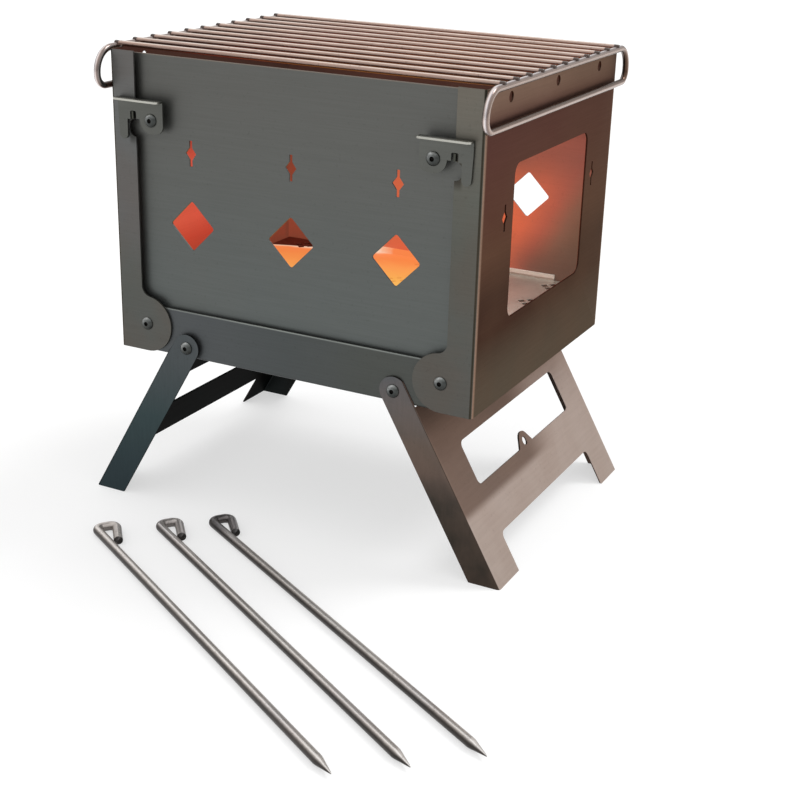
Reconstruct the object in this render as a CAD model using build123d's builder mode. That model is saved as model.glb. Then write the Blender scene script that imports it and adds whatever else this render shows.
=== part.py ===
from build123d import *
from math import cos, radians, sin, sqrt, tan
import os

os.makedirs("parts", exist_ok=True)

# A folding fire box of bent sheet steel, with its grate and three roasting rods, in millimetres.
# The origin is on the ground under the middle of the box. X runs along the box, Y to its back.

# Box body
box_length = 300.0
box_depth = 250.0
wall_height = 227.0
ground_clearance = 126.5
sheet = 1.5
bend_radius = 1.0
play = 0.3
turning_gap = 0.1

# End panels: side flanges with a round ear at the foot, vents and rod holes, and one window to feed it
window_side = "right"
flange_width = 21.0
ear_radius = 22.0
ear_inset = 25.0
ear_fillet = 8.0
window_width = 142.0
window_height = 111.0
window_bottom = 59.0
window_corner = 8.0
end_vent_height = 135.0
end_vent_spacing = 170.0
rod_hole_radius = 3.8
rod_hole_drop = 9.5
rod_hole_spacing = 85.0

# Small vents: a diamond with a slit above and below
vent_width = 9.0
vent_height = 12.0
vent_slit_width = 2.4
vent_slit_height = 19.0

# Front and back plates with three large diamonds
diamond_side = 27.0
diamond_corner = 2.0
diamond_spacing = 84.7
diamond_height = 103.0
plate_vent_height = 157.0
plate_drop = 1.5
plate_corner = 3.0

# Ash pan
pan_flange_height = 37.0
pan_end_height = 12.0
pan_corner_cut = 20.0

# Charcoal plate that stands in the pan
charcoal_height = 34.0
charcoal_lip_height = 5.0
charcoal_lip_length = 228.0
charcoal_vent_side = 5.0
charcoal_vent_reach = 5.5
charcoal_vent_pitch_x = 59.0
charcoal_vent_pitch_y = 49.0
charcoal_vent_rows = 5

# Latches on the plates, each hooked over a keeper on the end flange
latch_inset = 36.0
latch_height = 179.0
latch_top = 15.0
latch_outer = 29.0
latch_inner = 10.5
latch_bottom = 9.5
latch_corner = 6.0
latch_boss_radius = 10.0
latch_slot_top = 5.5
latch_slot_outer = 18.2
latch_slot_inner = 13.0
latch_slot_corner = 1.2
latch_seat_drop = 0.8
latch_bay_outer = 20.8
latch_tip_radius = 3.6
latch_tip_inset = 24.6
latch_tip_drop = 12.0
latch_lip = 7.0
latch_lip_corner = 2.5
keeper_height = 5.2
keeper_reach = 0.5
notch_depth = 6.0
notch_half_height = 6.6
notch_drop = 7.0

# Rivets, all of one pattern
shank_radius = 2.5
shank_clearance = 0.05
head_radius = 5.0
head_height = 2.2
head_rim = 0.7
socket_radius = 1.6
socket_depth = 1.4
tail_radius = 4.0
tail_height = 2.0
spacer_radius = 6.0
washer_radius = 9.0

# Leg frames: channels that lean outward and fold flat under the pan
leg_inset = 62.0
leg_pivot_height = 9.0
leg_lean = 30.0
leg_window_top = 57.0
leg_bar_top = 92.5
leg_bar_bottom = 131.0
leg_rail_width = 36.0
leg_window_corner = 5.0
eyelet_side = "right"
eyelet_radius = 8.0
eyelet_base = 25.0
eyelet_rise = 3.5
eyelet_hole_radius = 3.5

# Grate: bars laid over two wire loops
bar_radius = 2.0
bar_count = 11
bar_pitch = 22.0
bar_overhang = 6.0
loop_radius = 2.5
loop_offset = 4.0
loop_overhang = 10.0
loop_height = 26.7
loop_bar_sink = 2.0
loop_top_corner = 17.0
loop_bottom_corner = 9.0

# Roasting rods, lying in front of the box
rod_radius = 3.5
rod_length = 363.0
rod_point_length = 16.0
rod_point_radius = 0.4
eye_width = 16.3
eye_slant = 2.0
eye_length = 27.5
eye_bend_radius = 5.0
rod_tips = {"front": (184.0, -377.0), "middle": (220.6, -349.0), "back": (254.8, -317.6)}
rod_angles = {"front": -30.1, "middle": -30.3, "back": -29.3}

# Levels and faces that follow from the sizes above
half_length = box_length / 2
half_depth = box_depth / 2
base = ground_clearance
pan_half_length = half_length - sheet - play
pan_half_depth = half_depth - sheet - play
pan_inner_face = pan_half_depth - sheet
plate_outer_face = pan_inner_face - tail_height - play
plate_inner_face = plate_outer_face - sheet
plate_half_length = pan_half_length - sheet - play
plate_bottom = sheet + play
plate_top = wall_height - plate_drop
latch_inner_face = half_depth + play
latch_outer_face = latch_inner_face + sheet
latch_x = half_length - latch_inset
latch_z = base + latch_height
latch_tail_height = sheet
bore_radius = shank_radius + shank_clearance
leg_x = half_length - leg_inset
leg_z = base + leg_pivot_height
leg_boss_radius = leg_pivot_height + sheet + play
leg_flange_faces = {"left": half_depth + play + sheet, "right": half_depth}
leg_web_offsets = {"left": leg_boss_radius + sheet + play, "right": leg_boss_radius}
sides = {"left": -1, "right": 1}
fronts = {"front": -1, "back": 1}
lean_cos = cos(radians(leg_lean))
lean_sin = sin(radians(leg_lean))


# A channel section open towards -x, with the outer face of its web on x = 0
def channel_section(depth, width):
    with BuildSketch() as section:
        with Locations((-depth, 0)):
            RectangleRounded(2 * depth, width, bend_radius + sheet)
        with Locations((-depth - sheet, 0)):
            RectangleRounded(2 * depth, width - 2 * sheet, bend_radius, mode=Mode.SUBTRACT)
        with Locations((-depth / 2, 0)):
            Rectangle(depth, width, mode=Mode.INTERSECT)
    return section.sketch


# The small vent, a diamond crossed by an upright slit
def vent_outline():
    half_width = vent_width / 2
    half_height = vent_height / 2
    with BuildSketch() as vent:
        with BuildLine():
            Polyline((-half_width, 0), (0, half_height), (half_width, 0), (0, -half_height), close=True)
        make_face()
        Rectangle(vent_slit_width, vent_slit_height)
    return vent.sketch


# Half the outline of a rivet with a socketed dome outside and a flat tail inside. Across it is the
# radius, and up it is the distance from the middle plane, at which its head and its tail bear.
def rivet_outline(head_face, tail_face, tail):
    head_top = head_face + head_height
    with BuildSketch() as outline:
        with BuildLine():
            Polyline(
                (socket_radius, head_top),
                (socket_radius, head_top - socket_depth),
                (0, head_top - socket_depth),
                (0, tail_face - tail),
                (tail_radius, tail_face - tail),
                (tail_radius, tail_face),
                (shank_radius, tail_face),
                (shank_radius, head_face),
                (head_radius, head_face),
                (head_radius, head_face + head_rim),
            )
            RadiusArc((head_radius, head_face + head_rim), (socket_radius, head_top), -1.4 * head_radius)
        make_face()
    return outline.sketch


# The plane of such an outline, upright through one axis that points out of the front or the back
def across_axis(x, z, front):
    return Plane(origin=(x, 0, z), x_dir=(1, 0, 0), z_dir=(0, 0, front))


# A plane that faces out of the front or the back at a distance from the middle plane
def facing_out(x, z, front, distance):
    return Plane(origin=(x, front * distance, z), x_dir=(-front, 0, 0), z_dir=(0, front, 0))


# The outline of a spacer on a rivet's shank
def ring_outline(radius):
    with BuildSketch() as ring:
        Circle(radius)
        Circle(bore_radius, mode=Mode.SUBTRACT)
    return ring.sketch


# End panels

def make_end_panel(side_name):
    side = sides[side_name]
    corner = (side * half_length, 0, base)
    along_flange = Plane(origin=corner, x_dir=(-side, 0, 0), z_dir=(0, side, 0))
    on_end = Plane(origin=corner, x_dir=(0, side, 0), z_dir=(side, 0, 0))
    ear_centre = (ear_inset, ear_radius)
    notch_corner_height = ear_radius + sqrt(ear_radius**2 - (ear_inset - flange_width) ** 2)
    with BuildPart() as end_panel:
        with BuildSketch(Plane(origin=corner, x_dir=(side, 0, 0), z_dir=(0, 0, 1))):
            add(channel_section(ear_inset + ear_radius, box_depth))
        extrude(amount=wall_height)
        with BuildSketch(along_flange) as flange:
            with Locations((flange_width / 2, wall_height / 2)):
                Rectangle(flange_width, wall_height)
            with Locations(ear_centre):
                Circle(ear_radius)
            with Locations((ear_inset / 2, ear_radius / 2)):
                Rectangle(ear_inset, ear_radius)
            fillet(flange.vertices().sort_by_distance((flange_width, notch_corner_height))[0], ear_fillet)
            with Locations((flange_width, latch_height - notch_drop)):
                Ellipse(notch_depth, notch_half_height, mode=Mode.SUBTRACT)
        extrude(amount=box_depth, both=True, mode=Mode.INTERSECT)
        with BuildSketch(along_flange):
            with Locations(ear_centre):
                Circle(bore_radius)
        extrude(amount=box_depth, both=True, mode=Mode.SUBTRACT)
        if side_name == window_side:
            with BuildSketch(on_end):
                with Locations((0, window_bottom + window_height / 2)):
                    RectangleRounded(window_width, window_height, window_corner)
            extrude(amount=-2 * sheet, mode=Mode.SUBTRACT)
        with BuildSketch(on_end):
            with Locations((-end_vent_spacing / 2, end_vent_height), (end_vent_spacing / 2, end_vent_height)):
                add(vent_outline())
            with Locations((0, wall_height - rod_hole_drop)):
                with GridLocations(rod_hole_spacing, 0, 3, 1):
                    Circle(rod_hole_radius)
        extrude(amount=-2 * sheet, mode=Mode.SUBTRACT)
    end_panel.part.label = f"{side_name}_end_panel"
    export_step(end_panel.part, f"parts/{side_name}_end_panel.step")


for side_name in sides:
    make_end_panel(side_name)


# Keepers on the flanges, one for each latch

keeper_length = play + sheet + keeper_reach
keeper_top = latch_height + latch_slot_top - play
keeper_x = half_length - flange_width + sheet / 2
keeper_y = half_depth + keeper_length / 2
with BuildPart() as latch_keepers:
    for side in sides.values():
        for front in fronts.values():
            with Locations((side * keeper_x, front * keeper_y, base + keeper_top)):
                Box(sheet, keeper_length, keeper_height, align=(Align.CENTER, Align.CENTER, Align.MAX))
latch_keepers.part.label = "latch_keepers"
export_step(latch_keepers.part, "parts/latch_keepers.step")


# Ash pan

with BuildPart() as base_pan:
    with BuildSketch(Plane(origin=(-pan_half_length, 0, base), x_dir=(0, 0, -1), z_dir=(1, 0, 0))):
        add(channel_section(pan_flange_height, 2 * pan_half_depth))
    extrude(amount=2 * pan_half_length)
    with BuildSketch(Plane.XY.offset(base)):
        with GridLocations(2 * pan_half_length - sheet, 0, 2, 1):
            Rectangle(sheet, 2 * (pan_inner_face - bend_radius))
    extrude(amount=pan_end_height)
    with BuildSketch(Plane.XZ.offset(-half_depth)):
        for side in sides.values():
            with Locations((side * (half_length - ear_inset), base + ear_radius)):
                Circle(bore_radius)
            with Locations((side * leg_x, leg_z)):
                Circle(bore_radius)
            with BuildLine():
                top = base + pan_flange_height
                Polyline(
                    (side * pan_half_length, top),
                    (side * (pan_half_length - pan_corner_cut), top),
                    (side * pan_half_length, top - pan_corner_cut),
                    close=True,
                )
            make_face()
    extrude(amount=box_depth, mode=Mode.SUBTRACT)
    fillet(base_pan.edges().filter_by(Axis.Y).group_by(Axis.Z)[0], bend_radius)
base_pan.part.label = "base_pan"
export_step(base_pan.part, "parts/base_pan.step")


# Charcoal plate: a raised sheet on two bent ends, with low lips and groups of four vents

charcoal_half_length = plate_half_length
charcoal_half_depth = plate_inner_face - latch_tail_height - play
with BuildPart() as charcoal_plate:
    top = base + charcoal_height
    with BuildSketch(Plane(origin=(0, -charcoal_half_depth, top), x_dir=(0, 0, 1), z_dir=(0, 1, 0))):
        add(channel_section(charcoal_height - plate_bottom, 2 * charcoal_half_length))
    extrude(amount=2 * charcoal_half_depth)
    with BuildSketch(Plane.XY.offset(top - sheet)):
        with GridLocations(0, 2 * charcoal_half_depth - sheet, 1, 2):
            Rectangle(charcoal_lip_length, sheet)
    extrude(amount=sheet + charcoal_lip_height)
    with BuildSketch(Plane.XY.offset(top)):
        pitch_x = charcoal_vent_pitch_x
        pitch_y = charcoal_vent_pitch_y
        with GridLocations(pitch_x, pitch_y, charcoal_vent_rows, charcoal_vent_rows):
            with PolarLocations(charcoal_vent_reach, 4):
                Rectangle(charcoal_vent_side, charcoal_vent_side, rotation=45)
    extrude(amount=-2 * sheet, mode=Mode.SUBTRACT)
charcoal_plate.part.label = "charcoal_plate"
export_step(charcoal_plate.part, "parts/charcoal_plate.step")


# Front and back plates

def make_plate(front_name):
    front = fronts[front_name]
    outside = Plane(origin=(0, front * plate_outer_face, base), x_dir=(-front, 0, 0), z_dir=(0, front, 0))
    with BuildPart() as plate:
        with BuildSketch(outside):
            with Locations((0, (plate_bottom + plate_top) / 2)):
                RectangleRounded(2 * plate_half_length, plate_top - plate_bottom, plate_corner)
            with Locations((0, diamond_height)):
                with GridLocations(diamond_spacing, 0, 3, 1):
                    RectangleRounded(
                        diamond_side, diamond_side, diamond_corner, rotation=45, mode=Mode.SUBTRACT
                    )
            with Locations((0, plate_vent_height)):
                with GridLocations(diamond_spacing, 0, 3, 1):
                    add(vent_outline(), mode=Mode.SUBTRACT)
            with Locations((0, latch_height)):
                with GridLocations(2 * latch_x, 0, 2, 1):
                    Circle(bore_radius, mode=Mode.SUBTRACT)
        extrude(amount=-sheet)
    plate.part.label = f"{front_name}_plate"
    export_step(plate.part, f"parts/{front_name}_plate.step")


for front_name in fronts:
    make_plate(front_name)


# Latches

def make_latch(front_name, side_name):
    front = fronts[front_name]
    side = sides[side_name]
    pivot = (side * latch_x, front * latch_inner_face, latch_z)
    facing = Plane(origin=pivot, x_dir=(-side, 0, 0), z_dir=(0, side, 0))
    outward = side * front
    with BuildPart() as latch:
        with BuildSketch(facing) as outline:
            with BuildLine():
                CenterArc((-latch_tip_inset, -latch_tip_drop), latch_tip_radius, 0, 360)
                Line((-latch_outer, latch_slot_top), (-latch_bay_outer, latch_slot_top))
            make_hull()
            with Locations((-(latch_slot_outer + latch_tip_inset) / 2, (latch_slot_top - latch_seat_drop) / 2)):
                Rectangle(latch_tip_inset - latch_slot_outer, latch_slot_top + latch_seat_drop)
            with Locations(((latch_inner - latch_outer) / 2, (latch_top + latch_slot_top) / 2)):
                Rectangle(latch_inner + latch_outer, latch_top - latch_slot_top)
            with Locations((0, 0)):
                Circle(latch_boss_radius)
            with Locations(((latch_inner - latch_slot_inner) / 2, latch_slot_top / 2)):
                Rectangle(latch_inner + latch_slot_inner, latch_slot_top)
            with Locations((latch_inner / 2, -latch_bottom / 2)):
                Rectangle(latch_inner, latch_bottom)
            fillet(outline.vertices().sort_by_distance((latch_inner, -latch_bottom))[0], latch_corner)
            slot_corners = [(-latch_slot_inner, latch_slot_top), (-latch_slot_outer, latch_slot_top)]
            for slot_corner in slot_corners:
                fillet(outline.vertices().sort_by_distance(slot_corner)[0], latch_slot_corner)
            Circle(bore_radius, mode=Mode.SUBTRACT)
        extrude(amount=outward * sheet)
        with BuildSketch(facing):
            with Locations(((latch_inner - latch_outer) / 2, latch_top - sheet / 2)):
                Rectangle(latch_inner + latch_outer, sheet)
        extrude(amount=outward * (sheet + latch_lip))
        lip_ends = latch.edges().filter_by(Axis.Z).group_by(Axis.Y)[-1 if front > 0 else 0]
        fillet(lip_ends, latch_lip_corner)
        ridge = latch.edges().filter_by(Axis.X).sort_by_distance((pivot[0], pivot[1], latch_z + latch_top))[0]
        fillet(ridge, sheet)
    latch.part.label = f"latch_{front_name}_{side_name}"
    export_step(latch.part, f"parts/latch_{front_name}_{side_name}.step")


for front_name in fronts:
    for side_name in sides:
        make_latch(front_name, side_name)


# Rivets and spacers of the plates

def make_latch_fasteners(front_name):
    front = fronts[front_name]
    head_face = latch_outer_face + turning_gap
    spacer_length = latch_inner_face - turning_gap - plate_outer_face
    with BuildPart() as rivets:
        for side in sides.values():
            with BuildSketch(across_axis(side * latch_x, latch_z, front)):
                add(rivet_outline(head_face, plate_inner_face, latch_tail_height))
            revolve(axis=Axis((side * latch_x, 0, latch_z), (0, 1, 0)))
    rivets.part.label = f"{front_name}_latch_rivets"
    export_step(rivets.part, f"parts/{front_name}_latch_rivets.step")

    with BuildPart() as spacers:
        for side in sides.values():
            with BuildSketch(facing_out(side * latch_x, latch_z, front, plate_outer_face)):
                add(ring_outline(spacer_radius))
            extrude(amount=spacer_length)
    spacers.part.label = f"{front_name}_latch_spacers"
    export_step(spacers.part, f"parts/{front_name}_latch_spacers.step")


for front_name in fronts:
    make_latch_fasteners(front_name)


# Rivets through the ears

with BuildPart() as ear_rivets:
    for side in sides.values():
        for front in fronts.values():
            ear_x = side * (half_length - ear_inset)
            ear_z = base + ear_radius
            with BuildSketch(across_axis(ear_x, ear_z, front)):
                add(rivet_outline(half_depth, pan_inner_face, tail_height))
            revolve(axis=Axis((ear_x, 0, ear_z), (0, 1, 0)))
ear_rivets.part.label = "ear_rivets"
export_step(ear_rivets.part, "parts/ear_rivets.step")


# Leg frames

def make_leg_frame(side_name):
    side = sides[side_name]
    half_width = leg_flange_faces[side_name]
    web_offset = leg_web_offsets[side_name]
    pivot = Vector(side * leg_x, 0, leg_z)
    outward = Vector(side * lean_cos, 0, lean_sin)
    down = Vector(side * lean_sin, 0, -lean_cos)
    channel_depth = web_offset + leg_boss_radius
    reach = leg_z / lean_cos + web_offset * tan(radians(leg_lean)) + sheet
    web_top = (leg_pivot_height + play + web_offset * lean_sin) / lean_cos
    inner_half_width = half_width - sheet
    window_half_width = half_width - leg_rail_width
    side_view = Plane(origin=pivot, x_dir=outward, z_dir=(0, -side, 0))
    across = Plane(origin=pivot + outward * web_offset - down * leg_boss_radius, x_dir=outward, z_dir=down)
    on_web = Plane(origin=pivot + outward * web_offset, x_dir=(0, side, 0), z_dir=outward)
    with BuildPart() as leg_frame:
        with BuildSketch(across):
            add(channel_section(channel_depth, 2 * half_width))
        extrude(amount=leg_boss_radius + reach)
        with BuildSketch(side_view):
            with BuildLine():
                CenterArc((0, 0), leg_boss_radius, 0, 360)
                Polyline((web_offset, -web_top), (web_offset, -reach), (-leg_boss_radius, -reach))
            make_hull()
        extrude(amount=2 * half_width, both=True, mode=Mode.INTERSECT)
        with BuildSketch(side_view):
            with Locations((web_offset, 2 * leg_boss_radius - web_top)):
                Rectangle(4 * sheet, 4 * leg_boss_radius)
        extrude(amount=inner_half_width, both=True, mode=Mode.SUBTRACT)
        with BuildSketch(side_view):
            Circle(bore_radius)
        extrude(amount=2 * half_width, both=True, mode=Mode.SUBTRACT)
        with BuildSketch(on_web):
            with Locations((0, -(leg_window_top + leg_bar_top) / 2)):
                RectangleRounded(2 * window_half_width, leg_bar_top - leg_window_top, leg_window_corner)
            with Locations((0, -leg_bar_bottom - reach / 2)):
                RectangleRounded(2 * window_half_width, reach, leg_window_corner)
        extrude(amount=-2 * sheet, mode=Mode.SUBTRACT)
        if side_name == eyelet_side:
            with BuildSketch(on_web):
                with BuildLine():
                    CenterArc((0, -leg_bar_top + eyelet_rise), eyelet_radius, 0, 360)
                    Line((-eyelet_base / 2, -leg_bar_top), (eyelet_base / 2, -leg_bar_top))
                make_hull()
            extrude(amount=-sheet)
            with BuildSketch(on_web):
                with Locations((0, -leg_bar_top + eyelet_rise)):
                    Circle(eyelet_hole_radius)
            extrude(amount=-2 * sheet, mode=Mode.SUBTRACT)
        split(bisect_by=Plane.XY, keep=Keep.TOP)
    leg_frame.part.label = f"{side_name}_leg_frame"
    export_step(leg_frame.part, f"parts/{side_name}_leg_frame.step")


for side_name in sides:
    make_leg_frame(side_name)


# Leg rivets, and the washers that fill the wider frame's gap

with BuildPart() as leg_rivets:
    for side_name, side in sides.items():
        for front in fronts.values():
            head_face = leg_flange_faces[side_name] + turning_gap
            with BuildSketch(across_axis(side * leg_x, leg_z, front)):
                add(rivet_outline(head_face, pan_inner_face, tail_height))
            revolve(axis=Axis((side * leg_x, 0, leg_z), (0, 1, 0)))
leg_rivets.part.label = "leg_rivets"
export_step(leg_rivets.part, "parts/leg_rivets.step")

with BuildPart() as leg_washers:
    for front in fronts.values():
        with BuildSketch(facing_out(sides["left"] * leg_x, leg_z, front, pan_half_depth)):
            add(ring_outline(washer_radius))
        extrude(amount=leg_flange_faces["left"] - sheet - turning_gap - pan_half_depth)
leg_washers.part.label = "leg_washers"
export_step(leg_washers.part, "parts/leg_washers.step")


# Grate

bar_z = base + wall_height + play + bar_radius
loop_x = half_length + loop_offset
loop_top = bar_z - loop_bar_sink


# The middle line of a closed wire loop, which turns tighter at its lower corners
def loop_path(side):
    with BuildSketch(Plane.YZ.offset(side * loop_x)) as loop_outline:
        with Locations((0, loop_top - loop_height / 2)):
            Rectangle(2 * (half_depth + loop_overhang), loop_height)
        fillet(loop_outline.vertices().group_by(Axis.Y)[-1], loop_top_corner)
        fillet(loop_outline.vertices().group_by(Axis.Y)[0], loop_bottom_corner)
    return loop_outline.sketch.face().outer_wire()


with BuildPart() as grate_bars:
    with BuildSketch(Plane.YZ.offset(-half_length - bar_overhang)):
        with Locations((0, bar_z)):
            with GridLocations(bar_pitch, 0, bar_count, 1):
                Circle(bar_radius)
    extrude(amount=box_length + 2 * bar_overhang)
    for side in sides.values():
        path = loop_path(side)
        with BuildSketch(Plane(path @ 0, z_dir=path % 0)):
            Circle(loop_radius + shank_clearance)
        sweep(path=path, mode=Mode.SUBTRACT)
grate_bars.part.label = "grate_bars"
export_step(grate_bars.part, "parts/grate_bars.step")


def make_grate_loop(side_name):
    path = loop_path(sides[side_name])
    with BuildPart() as grate_loop:
        with BuildSketch(Plane(path @ 0, z_dir=path % 0)):
            Circle(loop_radius)
        sweep(path=path)
    grate_loop.part.label = f"{side_name}_grate_loop"
    export_step(grate_loop.part, f"parts/{side_name}_grate_loop.step")


for side_name in sides:
    make_grate_loop(side_name)


# Roasting rods

def make_rod(rod_name):
    tip_x, tip_y = rod_tips[rod_name]
    lying = Plane(origin=(tip_x, tip_y, rod_radius)).rotated((0, 0, rod_angles[rod_name]))
    eye_back = -rod_length + rod_radius
    point_plane = Plane(lying.from_local_coords((-rod_point_length, 0, 0)), z_dir=lying.x_dir)
    with BuildPart() as rod:
        with BuildLine(lying) as path:
            FilletPolyline(
                (-rod_point_length, 0),
                (eye_back, 0),
                (eye_back + eye_slant, eye_width),
                (eye_back + eye_length, 2 * rod_radius + play),
                radius=eye_bend_radius,
            )
        with BuildSketch(Plane(path.wire() @ 0, z_dir=path.wire() % 0)):
            Circle(rod_radius)
        sweep()
        with BuildSketch(point_plane):
            Circle(rod_radius)
        with BuildSketch(point_plane.offset(rod_point_length)):
            Circle(rod_point_radius)
        loft()
    rod.part.label = f"rod_{rod_name}"
    export_step(rod.part, f"parts/rod_{rod_name}.step")


for rod_name in rod_tips:
    make_rod(rod_name)
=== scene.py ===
import math
import bmesh
import bpy
import numpy as np
from mathutils import Matrix, Vector


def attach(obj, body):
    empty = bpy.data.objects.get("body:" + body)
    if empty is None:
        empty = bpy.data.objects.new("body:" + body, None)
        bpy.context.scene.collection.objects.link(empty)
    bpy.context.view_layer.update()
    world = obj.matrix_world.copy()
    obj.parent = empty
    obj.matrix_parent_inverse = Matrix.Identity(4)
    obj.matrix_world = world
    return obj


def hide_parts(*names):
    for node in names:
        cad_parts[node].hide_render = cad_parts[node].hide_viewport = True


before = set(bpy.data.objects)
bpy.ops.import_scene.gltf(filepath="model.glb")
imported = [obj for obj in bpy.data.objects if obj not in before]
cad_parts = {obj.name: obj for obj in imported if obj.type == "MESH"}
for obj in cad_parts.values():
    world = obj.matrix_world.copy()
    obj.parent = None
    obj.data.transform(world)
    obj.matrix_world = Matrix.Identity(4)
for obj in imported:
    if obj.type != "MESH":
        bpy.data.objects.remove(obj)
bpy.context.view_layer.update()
mm = 0.001
print("frame loaded")


# ---- colours and shader nodes

# A written colour such as "5d5f5b" as linear light
def colour(code):
    values = np.array([int(code[i:i + 2], 16) for i in (0, 2, 4)]) / 255
    linear = np.where(values <= 0.04045, values / 12.92, ((values + 0.055) / 1.055) ** 2.4)
    return (*linear.tolist(), 1.0)


# Each input is linked to another node's output, or set to a value
def fillInputs(tree, node, inputs):
    for key, value in inputs.items():
        if isinstance(value, bpy.types.NodeSocket):
            tree.links.new(value, node.inputs[key])
        else:
            node.inputs[key].default_value = value


def addNode(tree, kind, inputs=None, **settings):
    node = tree.nodes.new(kind)
    for name, value in settings.items():
        setattr(node, name, value)
    fillInputs(tree, node, inputs or {})
    return node


# Rises smoothly from 0 at low to 1 at high
def rise(tree, value, low, high):
    inputs = {"Value": value, "From Min": low, "From Max": high}
    return addNode(tree, "ShaderNodeMapRange", inputs, interpolation_type="SMOOTHSTEP").outputs["Result"]


def mathOf(tree, operation, first, second=0.0, clamp=False):
    node = addNode(tree, "ShaderNodeMath", {0: first, 1: second}, operation=operation, use_clamp=clamp)
    return node.outputs[0]


def times(tree, first, second):
    return mathOf(tree, "MULTIPLY", first, second)


def plus(tree, first, second):
    return mathOf(tree, "ADD", first, second)


def minus(tree, first, second):
    return mathOf(tree, "SUBTRACT", first, second)


# 1 where the value is under the limit, 0 elsewhere
def below(tree, value, limit):
    return mathOf(tree, "LESS_THAN", value, limit)


def sizeOf(tree, value):
    return mathOf(tree, "ABSOLUTE", value)


# The mask that covers what another mask leaves free
def inverse(tree, mask):
    return minus(tree, 1.0, mask)


# Smooth noise, moved so that it lies evenly about zero
def centred(tree, noise):
    return minus(tree, noise, 0.5)


def mixColour(tree, factor, first, second, blend="MIX"):
    inputs = {0: factor, 6: first, 7: second}
    node = addNode(tree, "ShaderNodeMix", inputs, data_type="RGBA", blend_type=blend)
    return node.outputs[2]


# The base with a written colour laid over it where the mask is, as far as amount says
def tinted(tree, base, code, mask, amount=1.0):
    factor = mask if amount == 1.0 else times(tree, mask, amount)
    return mixColour(tree, factor, base, colour(code))


# A colour ramp from a list of (place, colour code)
def rampOf(tree, value, stops):
    node = addNode(tree, "ShaderNodeValToRGB", {"Fac": value})
    ramp = node.color_ramp
    while len(ramp.elements) < len(stops):
        ramp.elements.new(0.5)
    for element, (place, code) in zip(ramp.elements, stops):
        element.position = place
        element.color = colour(code)
    return node.outputs["Color"]


# Further settings go to the noise inputs of the same names
def noiseOf(tree, place, scale, detail, **more):
    inputs = {"Vector": place, "Scale": scale, "Detail": detail}
    inputs.update({name.capitalize(): value for name, value in more.items()})
    return addNode(tree, "ShaderNodeTexNoise", inputs).outputs[0]


def objectPlace(tree):
    return addNode(tree, "ShaderNodeTexCoord").outputs["Object"]


def axesOf(tree, place):
    split = addNode(tree, "ShaderNodeSeparateXYZ", {0: place}).outputs
    return split["X"], split["Y"], split["Z"]


def groupSockets(group, direction, sockets):
    for name, kind in sockets.items():
        group.interface.new_socket(name, in_out=direction, socket_type="NodeSocket" + kind)


# Rolled sheet: Patches are broad clouds in the finish, Grain is fine brushing drawn out along the
# stretched axes, and Flecks are small dark specks.
def buildRolledFinish():
    group = bpy.data.node_groups.new("rolledFinish", "ShaderNodeTree")
    groupSockets(group, "INPUT", {"Place": "Vector", "Stretch": "Vector", "Patch Size": "Float"})
    groupSockets(group, "OUTPUT", {"Patches": "Float", "Grain": "Float", "Flecks": "Float"})
    given = group.nodes.new("NodeGroupInput").outputs
    result = group.nodes.new("NodeGroupOutput").inputs
    patchScale = mathOf(group, "DIVIDE", 1.0, given["Patch Size"])
    clouds = noiseOf(group, given["Place"], patchScale, 4.0, roughness=0.55, distortion=0.4)
    drawn = addNode(group, "ShaderNodeVectorMath", {0: given["Place"], 1: given["Stretch"]}, operation="MULTIPLY")
    grain = noiseOf(group, drawn.outputs[0], 1.0, 3.0, roughness=0.6)
    specks = noiseOf(group, given["Place"], 420.0, 2.0, roughness=0.5)
    group.links.new(rise(group, clouds, 0.3, 0.7), result["Patches"])
    group.links.new(grain, result["Grain"])
    group.links.new(rise(group, specks, 0.62, 0.74), result["Flecks"])
    return group


# Heat tint: steel that has been hot runs through straw, copper, violet and slate as Heat rises,
# and clouds shift the colours from place to place.
def buildHeatTint():
    group = bpy.data.node_groups.new("heatTint", "ShaderNodeTree")
    groupSockets(group, "INPUT", {"Place": "Vector", "Heat": "Float", "Spread": "Float"})
    groupSockets(group, "OUTPUT", {"Tint": "Color"})
    given = group.nodes.new("NodeGroupInput").outputs
    result = group.nodes.new("NodeGroupOutput").inputs
    clouds = noiseOf(group, given["Place"], 30.0, 3.0, roughness=0.5)
    offset = times(group, centred(group, clouds), given["Spread"])
    heat = mathOf(group, "ADD", given["Heat"], offset, clamp=True)
    tint = rampOf(group, heat, [
        (0.0, "b9b2ab"), (0.3, "b09a83"), (0.5, "966f58"), (0.7, "6d5450"), (0.85, "565158"), (1.0, "3c3c3e")])
    group.links.new(tint, result["Tint"])
    return group


rolledFinish = buildRolledFinish()
heatTint = buildHeatTint()


def placeGroup(tree, group, inputs):
    node = addNode(tree, "ShaderNodeGroup", node_tree=group)
    fillInputs(tree, node, inputs)
    return node.outputs


def rolledOf(tree, place, look):
    return placeGroup(tree, rolledFinish, {
        "Place": place, "Stretch": look["stretch"], "Patch Size": look["patchSize"]})


def attributeOf(tree, name, output="Fac"):
    return addNode(tree, "ShaderNodeAttribute", attribute_name=name).outputs[output]


# The mirror tint shows at a glancing angle: a warm one adds painted warm light, and a dark one keeps a sheet with
# painted shade dark there
def newMaterial(name, look):
    material = bpy.data.materials.new(name)
    material.use_nodes = True
    tree = material.node_tree
    shader = tree.nodes["Principled BSDF"]
    shader.inputs["Metallic"].default_value = look["metallic"]
    shader.inputs["Roughness"].default_value = look["roughness"]
    shader.inputs["Specular Tint"].default_value = colour(look.get("mirrorTint", "ffffff"))
    return material, tree, shader


def addRelief(tree, shader, height, strength, distance):
    relief = addNode(tree, "ShaderNodeBump", {"Height": height, "Strength": strength, "Distance": distance})
    tree.links.new(relief.outputs[0], shader.inputs["Normal"])


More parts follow.
